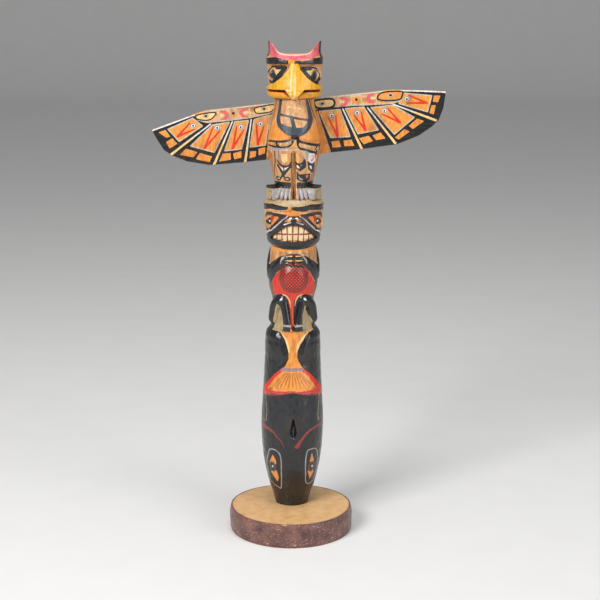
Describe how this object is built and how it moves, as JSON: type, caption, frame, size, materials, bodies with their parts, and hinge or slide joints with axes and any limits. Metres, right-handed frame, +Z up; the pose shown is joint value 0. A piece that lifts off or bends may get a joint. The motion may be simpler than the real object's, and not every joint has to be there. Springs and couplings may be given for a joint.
{
  "type": "totem pole",
  "caption": "Small painted cedar totem pole with an open-winged eagle, a bear and a head-down whale, standing on a slice of a log.",
  "frame": {"origin": "centre of the log slice's underside, on the surface that it stands on", "axes": "+Z up along the pole, the figures face -Y, +X is to the right of someone who looks at the figures"},
  "size_m": [0.3084, 0.1311, 0.525],
  "materials": {
    "painted_cedar": "glossy",
    "painted_board": "satin",
    "barked_log": "matte"
  },
  "bodies": {
    "root": {"log_base": "barked_log", "pole": "painted_cedar", "wings": "painted_board"}
  },
  "joints": []
}
